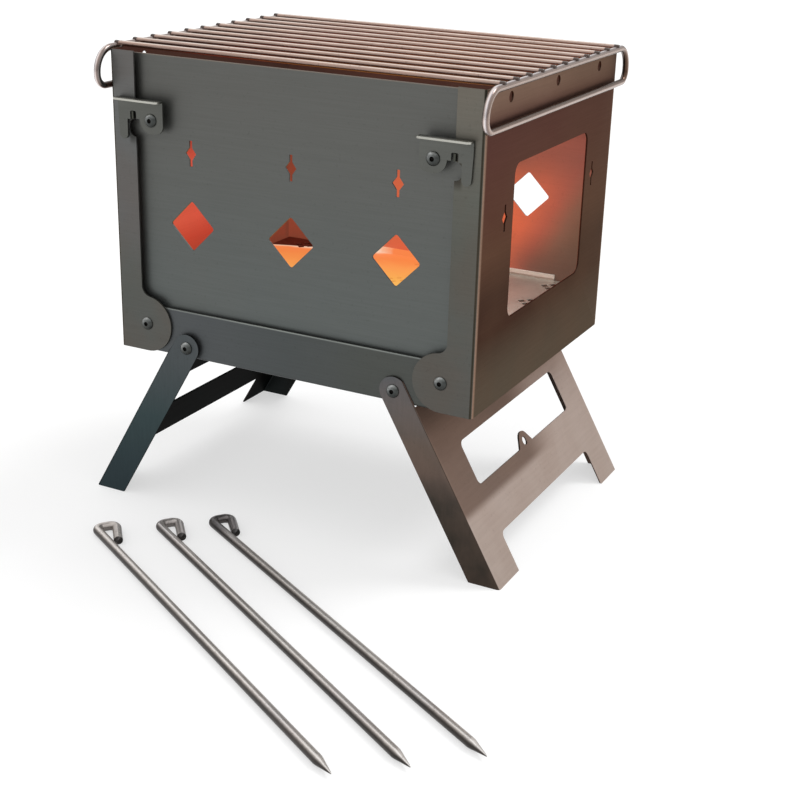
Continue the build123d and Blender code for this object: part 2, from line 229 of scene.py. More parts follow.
def addGlow(tree, shader, glow, strength):
    tree.links.new(glow, shader.inputs["Emission Color"])
    shader.inputs["Emission Strength"].default_value = strength


# The last steps that all the sheet finishes share: patches and grain change the colour and the gloss a
# little, flecks darken it, and the grain gives a faint relief.
sheetLook = {
    "stretch": (22.0, 22.0, 1100.0), "patchSize": 70 * mm, "patch": "6a6c69", "patchAmount": 0.3,
    "grain": "f0f0ee", "grainSpan": (0.35, 0.65), "grainAmount": 0.3, "fleck": "2c2724", "fleckAmount": 0.12,
    "roughness": 0.46, "grainGloss": 0.1, "patchGloss": 0.05, "relief": 0.03, "reliefHeight": 0.08 * mm,
}


def finishSheet(tree, shader, place, base, look):
    finish = rolledOf(tree, place, look)
    patched = tinted(tree, base, look["patch"], finish["Patches"], look["patchAmount"])
    grainMask = times(tree, rise(tree, finish["Grain"], *look["grainSpan"]), look["grainAmount"])
    grained = mixColour(tree, grainMask, patched, colour(look["grain"]), "MULTIPLY")
    flecked = tinted(tree, grained, look["fleck"], finish["Flecks"], look["fleckAmount"])
    tree.links.new(flecked, shader.inputs["Base Color"])
    smoothest = look["roughness"] - look["grainGloss"] / 2
    grainRough = plus(tree, times(tree, finish["Grain"], look["grainGloss"]), smoothest)
    patchRough = times(tree, finish["Patches"], look["patchGloss"])
    tree.links.new(plus(tree, grainRough, patchRough), shader.inputs["Roughness"])
    addRelief(tree, shader, finish["Grain"], look["relief"], look["reliefHeight"])


# ---- finishes of the sheet pieces

# In each look a span gives where a change begins and where it ends, in metres unless it is a share.


# A mask for the part of a sheet between two heights, with soft ends
def bandMask(tree, value, low, high, soft):
    begins = rise(tree, value, low, low + soft)
    ends = inverse(tree, rise(tree, value, high - soft, high))
    return times(tree, begins, ends)


# Front and back plate: outside grey green, with a painted highlight along the top edge; inside, painted firelight
# that also glows: deep orange towards the left, painted shade low down and at the left corner, brown grey where
# it nears the right end, duller higher up, and sooty at the top.
plateLook = {
    "roughness": 0.42, "metallic": 0.9, "insideDepth": 118.2 * mm,
    "outsideSpan": (130 * mm, 350 * mm), "outside": [(0.0, "606564"), (0.5, "616462"), (1.0, "646461")],
    "edgeSpan": (351.2 * mm, 351.8 * mm), "edge": "83796f",
    "wallSpan": (60 * mm, 160 * mm), "slopeFrom": 230 * mm, "slope": 0.5,
    "wall": [(0.0, "cc7052"), (0.3, "c66c54"), (0.55, "ae6352"), (0.8, "8a6353"), (1.0, "6f5a4a")],
    "floorSpan": (165 * mm, 205 * mm), "floorAlong": (60 * mm, 100 * mm), "floor": "6b5046", "floorAmount": 0.7,
    "paleSpan": (222 * mm, 268 * mm), "pale": "8a584e", "paleAmount": 0.85,
    "cornerSpan": (-110 * mm, -75 * mm), "corner": "924c38", "cornerAmount": 0.9,
    "sootAndShadeSpan": (275 * mm, 302 * mm), "sootAndShade": "46302a",
    "cloudScale": 14.0, "cloudSpan": (0.45, 0.75), "cloud": "5a3024", "cloudAmount": 0.2, "glow": 0.55,
}


def buildPlateSteel():
    look = plateLook
    material, tree, shader = newMaterial("plateSteel", look)
    place = objectPlace(tree)
    x, y, z = axesOf(tree, place)
    outside = rampOf(tree, rise(tree, z, *look["outsideSpan"]), look["outside"])
    # Painted highlight along the top edge
    withHighlight = tinted(tree, outside, look["edge"], rise(tree, z, *look["edgeSpan"]))
    # Painted firelight on the inside, with painted shade low down and at the left corner
    slope = plus(tree, x, times(tree, minus(tree, look["slopeFrom"], z), look["slope"]))
    wall = rampOf(tree, rise(tree, slope, *look["wallSpan"]), look["wall"])
    nearFloor = times(tree, inverse(tree, rise(tree, z, *look["floorSpan"])), rise(tree, x, *look["floorAlong"]))
    low = tinted(tree, wall, look["floor"], nearFloor, look["floorAmount"])
    pale = tinted(tree, low, look["pale"], rise(tree, z, *look["paleSpan"]), look["paleAmount"])
    corner = inverse(tree, rise(tree, x, *look["cornerSpan"]))
    dimmed = tinted(tree, pale, look["corner"], corner, look["cornerAmount"])
    sootyAndShaded = tinted(tree, dimmed, look["sootAndShade"], rise(tree, z, *look["sootAndShadeSpan"]))
    clouds = noiseOf(tree, place, look["cloudScale"], 3.0, distortion=0.6)
    cloudy = tinted(tree, sootyAndShaded, look["cloud"], rise(tree, clouds, *look["cloudSpan"]), look["cloudAmount"])
    insideMask = below(tree, sizeOf(tree, y), look["insideDepth"])
    finishSheet(tree, shader, place, mixColour(tree, insideMask, withHighlight, cloudy), sheetLook)
    # The inside glows with its painted firelight
    addGlow(tree, shader, mixColour(tree, insideMask, colour("000000"), cloudy), look["glow"])
    return material


# End panels: on the end face, painted warm light turns the steel bronze brown, greyer towards the back, with a
# painted highlight at the top edge; the flanges are grey green, with a painted sheen at their top, a painted cool
# cast on the left one, and painted shade round the latches. The bend between them has painted shade on the
# flange's side and a painted highlight on the face's side. The window's cut faces have a painted highlight at
# its sill and painted shade above. Inside, both panels carry painted firelight with painted shade at the back
# corner, and the left one glows with it.
endLook = {
    "roughness": 0.4, "metallic": 0.9, "mirrorTint": "b8aca4", "heightSpan": (126.5 * mm, 353.5 * mm),
    "face": [
        (0.0, "585147"), (0.15, "3f2d28"), (0.3, "3d2c28"), (0.5, "5c4237"), (0.85, "5a3b37"), (0.96, "5a3b39"),
        (1.0, "8a7264")],
    "backToneSpan": (-60 * mm, 110 * mm), "backTone": "524338", "backToneAmount": 0.35,
    "flange": [(0.0, "5a5c59"), (0.5, "5b5d58"), (0.85, "63655f"), (1.0, "716e66")],
    "lipSpan": (120.5 * mm, 123.2 * mm), "lip": "927868", "lipAlong": (149.2 * mm, 149.8 * mm),
    "coolSpan": (0.1, 0.5), "cool": "696b6d", "coolAmount": 0.7,
    "latchShadeAlong": (127 * mm, 136 * mm, 3 * mm), "latchShadeHeight": (284 * mm, 312 * mm, 8 * mm),
    "latchShade": "2b2c28", "latchShadeAmount": 0.75,
    "bendAlong": (147.6 * mm, 149.6 * mm, 0.6 * mm), "bend": "33342d",
    "cutAlong": (148.4 * mm, 149.9 * mm, 0.2 * mm), "cutDepth": 110 * mm,
    "sillSpan": (168 * mm, 174 * mm), "sill": "b8a294", "jamb": "3e2b23",
    "innerFace": 148.7 * mm, "roomDepth": 117.6 * mm, "slitAlong": 146 * mm, "slitDepth": 123.6 * mm,
    "warm": [(0.0, "5a3a30"), (0.2, "b0483a"), (0.3, "c85e4c"), (0.6, "c65a48"), (0.72, "984034"), (0.8, "46302a")],
    "cornerSpan": (30 * mm, 80 * mm), "cornerTop": (250 * mm, 290 * mm), "corner": "924c38", "cornerAmount": 0.9,
    "glow": 0.58,
}


def buildEndSteel():
    look = endLook
    material, tree, shader = newMaterial("endSteel", look)
    place = objectPlace(tree)
    x, y, z = axesOf(tree, place)
    across = sizeOf(tree, x)
    depth = sizeOf(tree, y)
    height = rise(tree, z, *look["heightSpan"])
    onLeft = below(tree, x, 0.0)
    # Painted warm light on the end face, with a painted highlight at the top edge
    face = rampOf(tree, height, look["face"])
    # Greyer towards the back
    backToned = tinted(tree, face, look["backTone"], rise(tree, y, *look["backToneSpan"]), look["backToneAmount"])
    # Painted highlight where the face meets the bend
    lip = tinted(tree, backToned, look["lip"], rise(tree, depth, *look["lipSpan"]))
    # Painted cool cast on the left flanges; the flange colours carry a painted sheen at their top
    cooler = times(tree, onLeft, times(tree, rise(tree, height, *look["coolSpan"]), look["coolAmount"]))
    sided = tinted(tree, rampOf(tree, height, look["flange"]), look["cool"], cooler)
    # Painted shade round the latches
    latchShade = times(tree, bandMask(tree, across, *look["latchShadeAlong"]), bandMask(tree, z, *look["latchShadeHeight"]))
    latchShaded = tinted(tree, sided, look["latchShade"], latchShade, look["latchShadeAmount"])
    # Painted shade on the flange's side of the bend
    bent = tinted(tree, latchShaded, look["bend"], bandMask(tree, across, *look["bendAlong"]))
    outside = mixColour(tree, rise(tree, across, *look["lipAlong"]), bent, lip)
    # Painted highlight on the window's sill, painted shade on the cut faces above
    sill = mixColour(tree, rise(tree, z, *look["sillSpan"]), colour(look["sill"]), colour(look["jamb"]))
    cut = times(tree, bandMask(tree, across, *look["cutAlong"]), below(tree, depth, look["cutDepth"]))
    trimmed = mixColour(tree, cut, outside, sill)
    nearEnd = mathOf(tree, "GREATER_THAN", across, look["slitAlong"])
    inSlit = times(tree, nearEnd, below(tree, depth, look["slitDepth"]))
    inRoom = mathOf(tree, "MAXIMUM", inSlit, below(tree, depth, look["roomDepth"]))
    within = times(tree, below(tree, across, look["innerFace"]), inRoom)
    # Painted firelight inside, with painted shade at the back corner
    backCorner = times(tree, rise(tree, y, *look["cornerSpan"]), inverse(tree, rise(tree, z, *look["cornerTop"])))
    inner = tinted(tree, rampOf(tree, height, look["warm"]), look["corner"], backCorner, look["cornerAmount"])
    finishSheet(tree, shader, place, mixColour(tree, within, trimmed, inner), {
        **sheetLook, "patch": "725848", "patchAmount": 0.18, "roughness": 0.42})
    # The left panel glows with its painted firelight
    addGlow(tree, shader, mixColour(tree, times(tree, within, onLeft), colour("000000"), inner), look["glow"])
    return material


# Ash pan: a shade darker than the plates, with a painted highlight along its top edge and soot on its floor
panLook = {
    "roughness": 0.42, "metallic": 0.9, "outsideSpan": (-150 * mm, 150 * mm),
    "outside": [(0.0, "55585a"), (0.5, "4e5252"), (1.0, "51534e")],
    "edgeSpan": (162.2 * mm, 163.2 * mm), "edge": "8f938f",
    "innerDepth": 122.1 * mm, "floor": 127.2 * mm, "sootAndShade": "3a302a",
}


def buildPanSteel():
    look = panLook
    material, tree, shader = newMaterial("panSteel", look)
    place = objectPlace(tree)
    x, y, z = axesOf(tree, place)
    outside = rampOf(tree, rise(tree, x, *look["outsideSpan"]), look["outside"])
    # Painted highlight along the top edge
    withHighlight = tinted(tree, outside, look["edge"], rise(tree, z, *look["edgeSpan"]))
    betweenSides = below(tree, sizeOf(tree, y), look["innerDepth"])
    within = times(tree, betweenSides, mathOf(tree, "GREATER_THAN", z, look["floor"]))
    finishSheet(tree, shader, place, tinted(tree, withHighlight, look["sootAndShade"], within), {**sheetLook, "patch": "575a5c"})
    return material


# Charcoal plate: pale brown grey with ash dust and painted highlights on its lips. A glowing bed of embers is
# painted left of the middle, in front of the line y = lineSlope * x + lineStart, with a bright rim along that line.
# Behind the line on the left lies painted shade, and the rest of its top glows faintly with painted window light.
charcoalLook = {
    "roughness": 0.5, "metallic": 0.7, "baseSpan": (-140 * mm, 140 * mm),
    "base": [(0.0, "8a6a58"), (0.6, "c0b2a6"), (1.0, "d2c6ba")],
    "lipSpan": (161.8 * mm, 163 * mm), "lip": "fff2ea", "lineSlope": 0.36, "lineStart": 136 * mm,
    "raggedScale": 40.0, "ragged": 4 * mm, "rimSpan": (-1 * mm, 1 * mm), "bedEnd": (30 * mm, 65 * mm),
    "bed": "6a3a26", "leftSpan": (-100 * mm, -60 * mm), "behind": "84402f",
    "emberScale": 22.0, "emberWander": 30 * mm, "bedDepth": 120 * mm,
    "embers": [
        (0.0, "ffe0c8"), (0.04, "ffb890"), (0.07, "ff8c50"), (0.2, "fb8c48"), (0.45, "ffa254"), (0.7, "ffb456"),
        (1.0, "ffcc66")],
    "windowLit": "484d47", "windowLitLip": "7c8078", "top": 160.3 * mm, "glow": 0.85,
}


def buildCharcoalSteel():
    look = charcoalLook
    material, tree, shader = newMaterial("charcoalSteel", look)
    place = objectPlace(tree)
    x, y, z = axesOf(tree, place)
    onLip = rise(tree, z, *look["lipSpan"])
    # Painted highlights on the lips
    lips = tinted(tree, rampOf(tree, rise(tree, x, *look["baseSpan"]), look["base"]), look["lip"], onLip)
    wander = times(tree, centred(tree, noiseOf(tree, place, look["raggedScale"], 3.0)), look["ragged"])
    line = minus(tree, y, times(tree, x, look["lineSlope"]))
    reach = plus(tree, minus(tree, look["lineStart"], line), wander)
    inFront = rise(tree, reach, *look["rimSpan"])
    onBed = times(tree, inFront, inverse(tree, rise(tree, x, *look["bedEnd"])))
    leftSide = inverse(tree, rise(tree, x, *look["leftSpan"]))
    # Painted shade behind the line on the left
    shaded = tinted(tree, lips, look["behind"], times(tree, inverse(tree, inFront), leftSide))
    finishSheet(tree, shader, place, tinted(tree, shaded, look["bed"], onBed), {
        **sheetLook, "stretch": (40.0, 900.0, 900.0), "patch": "6b5a4e", "patchAmount": 0.4, "roughness": 0.5})
    # The painted bed of embers glows
    clouds = noiseOf(tree, place, look["emberScale"], 4.0, distortion=0.8)
    heat = plus(tree, reach, times(tree, centred(tree, clouds), look["emberWander"]))
    glow = rampOf(tree, mathOf(tree, "DIVIDE", heat, look["bedDepth"]), look["embers"])
    # Painted window light: a faint glow on the top, brighter on the lips
    lit = mixColour(tree, onLip, colour(look["windowLit"]), colour(look["windowLitLip"]))
    windowLitMask = times(tree, mathOf(tree, "GREATER_THAN", z, look["top"]), inverse(tree, leftSide))
    windowLit = mixColour(tree, windowLitMask, colour("000000"), lit)
    addGlow(tree, shader, mixColour(tree, onBed, windowLit, glow), look["glow"])
    return material


# Leg frames: one steel, painted as lit in two ways: the right frame with painted warm light, pinkish on its web,
# the left frame with painted shade. The flanges darken towards the ground and the right web towards its top; each
# web has painted shadow over its upper front part, and the inside of the channel is dark with painted shade. How
# far a point lies out of the web's plane is (|x| - pivotX) * cos(lean) + (z - pivotZ) * sin(lean).
legShape = {
    "lean": math.radians(30), "pivotX": 88 * mm, "pivotZ": 135.5 * mm, "heightSpan": (0.0, 146 * mm),
    "shadeSpan": (46 * mm, 53 * mm), "shadeAlong": (-5 * mm, 50 * mm), "skin": 0.6 * mm, "flangeEdge": 1.4 * mm,
    "sootAndShade": "1c1917", "roughness": 0.4, "metallic": 0.9,
}
legLooks = {
    # Painted warm light
    "rightLeg": {
        "mirrorTint": "c8c0ba", "outerFace": 125 * mm, "webOut": 10.8 * mm, "patch": "94796a",
        "shade": "6f5a4f", "shadeAmount": 0.85,
        "web": [(0.0, "c0b1a8"), (0.35, "c1b0a7"), (0.62, "b3a198"), (0.85, "93796d"), (1.0, "745b50")],
        "flange": [
            (0.0, "1d201e"), (0.15, "242725"), (0.35, "2f312f"), (0.55, "5c514b"), (0.75, "5d554f"), (1.0, "585b5e")],
    },
    # Painted shade over the whole left frame
    "leftLeg": {
        "mirrorTint": "50544f", "outerFace": 126.8 * mm, "webOut": 12.6 * mm, "patch": "3a4648",
        "shade": "1f211f", "shadeAmount": 0.5,
        "web": [(0.0, "303231"), (0.5, "282a28"), (1.0, "31332f")],
        "flange": [(0.0, "343e42"), (0.5, "3f4c4e"), (1.0, "56595b")],
    },
}


def buildLegSteel(name, look):
    look = {**legShape, **look}
    material, tree, shader = newMaterial(name + "Steel", look)
    place = objectPlace(tree)
    x, y, z = axesOf(tree, place)
    depth = sizeOf(tree, y)
    height = rise(tree, z, *look["heightSpan"])
    # Painted shadow over the web's upper front part
    upper = times(tree, rise(tree, z, *look["shadeSpan"]), inverse(tree, rise(tree, y, *look["shadeAlong"])))
    web = tinted(tree, rampOf(tree, height, look["web"]), look["shade"], upper, look["shadeAmount"])
    onFlange = rise(tree, depth, look["outerFace"] - look["flangeEdge"], look["outerFace"] - look["skin"])
    outside = mixColour(tree, onFlange, web, rampOf(tree, height, look["flange"]))
    fromPivot = minus(tree, sizeOf(tree, x), look["pivotX"])
    abovePivot = minus(tree, z, look["pivotZ"])
    out = plus(tree, times(tree, fromPivot, math.cos(look["lean"])), times(tree, abovePivot, math.sin(look["lean"])))
    # Painted shade inside the channel
    behindWeb = below(tree, out, look["webOut"] - look["skin"])
    inside = times(tree, behindWeb, below(tree, depth, look["outerFace"] - look["skin"]))
    finishSheet(tree, shader, place, tinted(tree, outside, look["sootAndShade"], inside), {
        **sheetLook, "stretch": (700.0, 22.0, 60.0), "patch": look["patch"], "patchAmount": 0.25, "roughness": 0.4})
    return material


# Latches, washers and spacers are the plates' grey, with a painted highlight on the finger lips. Keepers are the end
# panels' flange steel, darkened with painted shade where the hooks sit over them.
smallLooks = {
    # Painted highlight on the finger lips
    "latch": {
        "roughness": 0.36, "metallic": 0.95, "gloss": 0.36, "span": (127.6 * mm, 131.8 * mm),
        "from": "5e5f5b", "to": "bdbcb4"},
    # Painted shade on the keepers
    "keeper": {
        "roughness": 0.45, "metallic": 0.9, "gloss": 0.42, "span": (125.8 * mm, 127 * mm),
        "from": "2b2d2a", "to": "45463f"},
}


def buildSmallSteel(name, look):
    material, tree, shader = newMaterial(name + "Steel", look)
    place = objectPlace(tree)
    outwards = rise(tree, sizeOf(tree, axesOf(tree, place)[1]), *look["span"])
    base = mixColour(tree, outwards, colour(look["from"]), colour(look["to"]))
    finishSheet(tree, shader, place, base, {**sheetLook, "patchAmount": 0.2, "roughness": look["gloss"]})
    return material


# ---- finishes of the round pieces

# Rivets: domes round a hollow darkened with painted shade, which the attribute "hollow" marks. Each dome has a
# painted highlight up and to the left and painted shade below, with faint wear.
rivetLook = {
    "roughness": 0.28, "metallic": 1.0, "hollow": "121110",
    "wearScale": 600.0, "wearSpan": (0.4, 0.65), "wearAmount": 0.3, "wear": "4c4b47",
    "dome": [(0.0, "2f3130"), (0.45, "4a4d4c"), (0.7, "6d706f"), (0.88, "a9abaa"), (1.0, "7c7e7d")],
    "relief": 0.2, "reliefHeight": 0.1 * mm,
}


def buildRivetSteel():
    look = rivetLook
    material, tree, shader = newMaterial("rivetSteel", look)
    wear = noiseOf(tree, objectPlace(tree), look["wearScale"], 3.0)
    # Painted highlight up and to the left, painted shade below
    dome = rampOf(tree, attributeOf(tree, "lean"), look["dome"])
    withHighlight = tinted(tree, dome, look["wear"], rise(tree, wear, *look["wearSpan"]), look["wearAmount"])
    # Painted shade in the hollow
    hollowed = tinted(tree, withHighlight, look["hollow"], attributeOf(tree, "hollow"))
    tree.links.new(hollowed, shader.inputs["Base Color"])
    addRelief(tree, shader, wear, look["relief"], look["reliefHeight"])
    return material


# Drawn wire and bar: heat tint comes and goes along the piece, and bands of painted highlight, reflection and shade
# run along it. A point attribute gives the heat at each point; high heat darkens the steel, which also paints
# shade at the bar ends, on the weld beads and towards the rods' eyes. "section" holds the cosine and sine of the
# place round the bar, and round = arctan2(sine, cosine) / one whole turn. The bands start at the side of the section
# that faces outwards and run up and over it.
wireSurface = {
    "stretch": (300.0, 300.0, 300.0), "patchSize": 20 * mm, "wander": 0.03,
    "sootAndShadeSpan": (0.5, 1.0), "sootAndShadeAmount": 0.9, "scuff": "6a5f59", "scuffAmount": 0.15,
    "speck": "4a3f39", "speckAmount": 0.3, "gloss": 0.16, "relief": 0.12, "reliefHeight": 0.1 * mm,
}
# The bands in each look paint highlights, reflections of the surroundings and shade round the section
wireLooks = {
    "bar": {"roughness": 0.34, "metallic": 0.95, "spread": 0.5, "tintAmount": 0.35, "paintedLightBands": [
        (0.0, "b89e94"), (0.05, "c4aca2"), (0.1, "b89c90"), (0.15, "f2e0d6"), (0.2, "fff6ee"), (0.25, "dcc4b8"),
        (0.3, "9e8478"), (0.5, "7a6056"), (0.82, "84685c"), (0.9, "967a6e"), (0.96, "b0988e"), (1.0, "b89e94")]},
    "loop": {"roughness": 0.24, "metallic": 1.0, "spread": 0.4, "tintAmount": 0.05, "paintedLightBands": [
        (0.0, "baa69c"), (0.06, "ae9a90"), (0.12, "86766f"), (0.17, "908482"), (0.22, "eee6e8"), (0.27, "dccec8"),
        (0.32, "8c7c76"), (0.45, "777473"), (0.62, "716e6c"), (0.75, "4e3c32"), (0.88, "5c483c"), (0.95, "927c70"),
        (1.0, "baa69c")]},
    "rod": {"roughness": 0.3, "metallic": 0.68, "spread": 0.35, "tintAmount": 0.3, "paintedLightBands": [
        (0.0, "2e2b29"), (0.05, "34312f"), (0.09, "504c49"), (0.12, "7a7673"), (0.15, "b4b0ad"), (0.18, "f4f0ed"),
        (0.2, "ffffff"), (0.24, "e0dcd9"), (0.29, "ccc8c5"), (0.36, "ccc8c5"), (0.44, "bab6b3"), (0.5, "8e8a87"),
        (0.8, "3a3735"), (1.0, "2e2b29")]},
}


def buildWireSteel(name, look):
    look = {**wireSurface, **look}
    material, tree, shader = newMaterial(name + "Steel", look)
    place = objectPlace(tree)
    heat = attributeOf(tree, "heatAndShade")
    cosine, sine = axesOf(tree, attributeOf(tree, "section", "Vector"))[:2]
    turn = mathOf(tree, "FRACT", times(tree, mathOf(tree, "ARCTAN2", sine, cosine), 0.5 / math.pi))
    tint = placeGroup(tree, heatTint, {"Place": place, "Heat": heat, "Spread": look["spread"]})["Tint"]
    finish = rolledOf(tree, place, look)
    wander = times(tree, centred(tree, finish["Grain"]), look["wander"])
    # Bands of painted highlight, reflection and shade round the section
    paintedLightBands = rampOf(tree, plus(tree, turn, wander), look["paintedLightBands"])
    # High heat darkens the steel; the bar ends, weld beads and rods' eyes are given it as painted shade
    sootyAndShaded = times(tree, rise(tree, heat, *look["sootAndShadeSpan"]), look["sootAndShadeAmount"])
    drawn = mixColour(tree, mathOf(tree, "MAXIMUM", sootyAndShaded, look["tintAmount"]), paintedLightBands, tint, "MULTIPLY")
    scuffed = tinted(tree, drawn, look["scuff"], finish["Patches"], look["scuffAmount"])
    specked = tinted(tree, scuffed, look["speck"], finish["Flecks"], look["speckAmount"])
    tree.links.new(specked, shader.inputs["Base Color"])
    gloss = plus(tree, times(tree, finish["Grain"], look["gloss"]), look["roughness"] - look["gloss"] / 2)
    tree.links.new(gloss, shader.inputs["Roughness"])
    addRelief(tree, shader, finish["Grain"], look["relief"], look["reliefHeight"])
    return material


steels = {
    "plate": buildPlateSteel(), "end": buildEndSteel(), "pan": buildPanSteel(), "charcoal": buildCharcoalSteel(),
    "rivet": buildRivetSteel(),
}
for build, looks in ((buildLegSteel, legLooks), (buildSmallSteel, smallLooks), (buildWireSteel, wireLooks)):
    steels.update({name: build(name, look) for name, look in looks.items()})
print("materials built")


# ---- pieces from the frame's own sheets, with softened edges

sheets = {
    "front_plate": ("frontPlateSheet", "front_wall", "side_steel", "plate"),
    "back_plate": ("backPlateSheet", "back_wall", "side_steel", "plate"),
    "base_pan": ("ashPanSheet", "firebox", "side_steel", "pan"),
    "left_end_panel": ("leftEndSheet", "firebox", "end_steel", "end"),
    "right_end_panel": ("rightEndSheet", "firebox", "end_steel", "end"),
    "charcoal_plate": ("charcoalSheet", "coal_tray", "inner_steel", "charcoal"),
    "left_leg_frame": ("leftLegSheet", "left_legs", "leg_steel", "leftLeg"),
    "right_leg_frame": ("rightLegSheet", "right_legs", "leg_steel", "rightLeg"),
    "latch_front_left": ("frontLeftHook", "front_left_hook", "bright_steel", "latch"),
    "latch_front_right": ("frontRightHook", "front_right_hook", "bright_steel", "latch"),
    "latch_back_left": ("backLeftHook", "back_left_hook", "bright_steel", "latch"),
    "latch_back_right": ("backRightHook", "back_right_hook", "bright_steel", "latch"),
}
sheetEdges = {
    "mergeWithin": 0.002 * mm, "flatTurn": math.radians(0.6), "sharpTurn": math.radians(32),
    "bevelWidth": 0.28 * mm, "bevelSteps": 2,
}


def giveSteel(piece, steel):
    piece.data.materials.clear()
    piece.data.materials.append(steels[steel])


def giveFinish(piece, bodyName, steel):
    giveSteel(piece, steel)
    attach(piece, bodyName)


def placeObject(name, data):
    placed = bpy.data.objects.new(name, data)
    bpy.context.scene.collection.objects.link(placed)
    return placed


def smoothUpTo(mesh, sharpTurn):
    mesh.polygons.foreach_set("use_smooth", np.ones(len(mesh.polygons), bool))
    mesh.set_sharp_from_angle(angle=sharpTurn)


# A merged copy of the frame's sheet, whose flat faces are joined and whose sharp edges are bevelled
def dressSheet(nodeName, pieceName, bodyName, slotName, steel):
    shape = bmesh.new()
    shape.from_mesh(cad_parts[nodeName].data)
    bmesh.ops.remove_doubles(shape, verts=shape.verts, dist=sheetEdges["mergeWithin"])
    bmesh.ops.dissolve_limit(shape, angle_limit=sheetEdges["flatTurn"], verts=shape.verts, edges=shape.edges)
    mesh = bpy.data.meshes.new(pieceName)
    shape.to_mesh(mesh)
    shape.free()
    smoothUpTo(mesh, sheetEdges["sharpTurn"])
    piece = placeObject(pieceName, mesh)
    bevel = piece.modifiers.new("softEdges", "BEVEL")
    bevel.width = sheetEdges["bevelWidth"]
    bevel.segments = sheetEdges["bevelSteps"]
    bevel.limit_method = "ANGLE"
    bevel.angle_limit = sheetEdges["sharpTurn"]
    bevel.harden_normals = True
    giveFinish(piece, bodyName, steel)
    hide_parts(nodeName)


for nodeName, entry in sheets.items():
    dressSheet(nodeName, *entry)
print("sheets dressed")


# ---- surfaces worked out on grids

# Evenly spaced angles of one whole turn
def anglesOf(count):
    return np.linspace(0, 2 * np.pi, count, endpoint=False)


# Faces of a grid of rings: each face joins two neighbours on a ring with the same two on the next ring.
# Where the rings don't close on themselves, the first and the last are each filled by one face.
def ringFaces(rings, sides, closed):
    ring = np.arange(rings if closed else rings - 1)[:, None]
    side = np.arange(sides)[None, :]
    nextRing = (ring + 1) % rings
    nextSide = (side + 1) % sides
    corners = (ring * sides + side, ring * sides + nextSide, nextRing * sides + nextSide, nextRing * sides + side)
    faces = np.stack(corners, axis=-1).reshape(-1, 4).tolist()
    if not closed:
        faces += [list(range(sides)), list(range((rings - 1) * sides, rings * sides))]
    return faces


def meshPiece(name, points, faces, attributes):
    mesh = bpy.data.meshes.new(name)
    mesh.from_pydata(points.tolist(), [], faces)
    for key, values in attributes.items():
        values = np.asarray(values, np.float32)
        if values.ndim == 1:
            mesh.attributes.new(key, "FLOAT", "POINT").data.foreach_set("value", values)
        else:
            mesh.attributes.new(key, "FLOAT_VECTOR", "POINT").data.foreach_set("vector", values.ravel())
    shape = bmesh.new()
    shape.from_mesh(mesh)
    bmesh.ops.recalc_face_normals(shape, faces=shape.faces)
    shape.to_mesh(mesh)
    shape.free()
    smoothUpTo(mesh, math.radians(50))
    return placeObject(name, mesh)


# A path with rounded corners: each corner becomes the arc that touches both of its runs. Its centre lies
# on the corner's inner bisector, radius / cos(half the turn) away, and a point of the arc is the centre
# plus (sin((1 - t) * turn) * first + sin(t * turn) * last) / sin(turn).
def roundedPath(corners, radii, steps):
    corners = np.asarray(corners, float)
    radii = np.asarray(radii, float)[:, None]
    arriving = corners - np.roll(corners, 1, axis=0)
    leaving = np.roll(corners, -1, axis=0) - corners
    arriving /= np.linalg.norm(arriving, axis=1, keepdims=True)
    leaving /= np.linalg.norm(leaving, axis=1, keepdims=True)
    turn = np.arccos(np.clip((arriving * leaving).sum(1, keepdims=True), -1, 1))
    bisector = leaving - arriving
    bisector /= np.linalg.norm(bisector, axis=1, keepdims=True)
    centre = corners + bisector * radii / np.cos(turn / 2)
    reach = radii * np.tan(turn / 2)
    first = (corners - arriving * reach - centre)[:, None, :]
    last = (corners + leaving * reach - centre)[:, None, :]
    t = np.linspace(0, 1, steps)[None, :, None]
    turn = turn[:, None, :]
    return centre[:, None, :] + (np.sin((1 - t) * turn) * first + np.sin(t * turn) * last) / np.sin(turn)


# The cosine and sine of the place round a bar, for all its rings
def sectionOf(rings, sides):
    angle = anglesOf(sides)
    return np.tile(np.column_stack([np.cos(angle), np.sin(angle), 0 * angle]), (rings, 1))


# A round bar along a flat path: a ring at each path point is
# point + radius * (cos(angle) * side + sin(angle) * normal), with side = normal x tangent.
def barAlong(path, normal, radii, sides, closed):
    if closed:
        tangent = np.roll(path, -1, axis=0) - np.roll(path, 1, axis=0)
    else:
        tangent = np.gradient(path, axis=0)
    tangent /= np.linalg.norm(tangent, axis=1, keepdims=True)
    side = np.cross(normal, tangent)
    angle = anglesOf(sides)[None, :, None]
    ring = np.cos(angle) * side[:, None, :] + np.sin(angle) * np.asarray(normal)[None, None, :]
    points = path[:, None, :] + np.asarray(radii)[:, None, None] * ring
    return points.reshape(-1, 3), ringFaces(len(path), sides, closed)


# Several shapes as one list of points and faces
def joinShapes(shapes):
    points, faces, start = [], [], 0
    for shapePoints, shapeFaces in shapes:
        points.append(shapePoints)
        faces += [[index + start for index in face] for face in shapeFaces]
        start += len(shapePoints)
    return np.concatenate(points), faces


# ---- grate

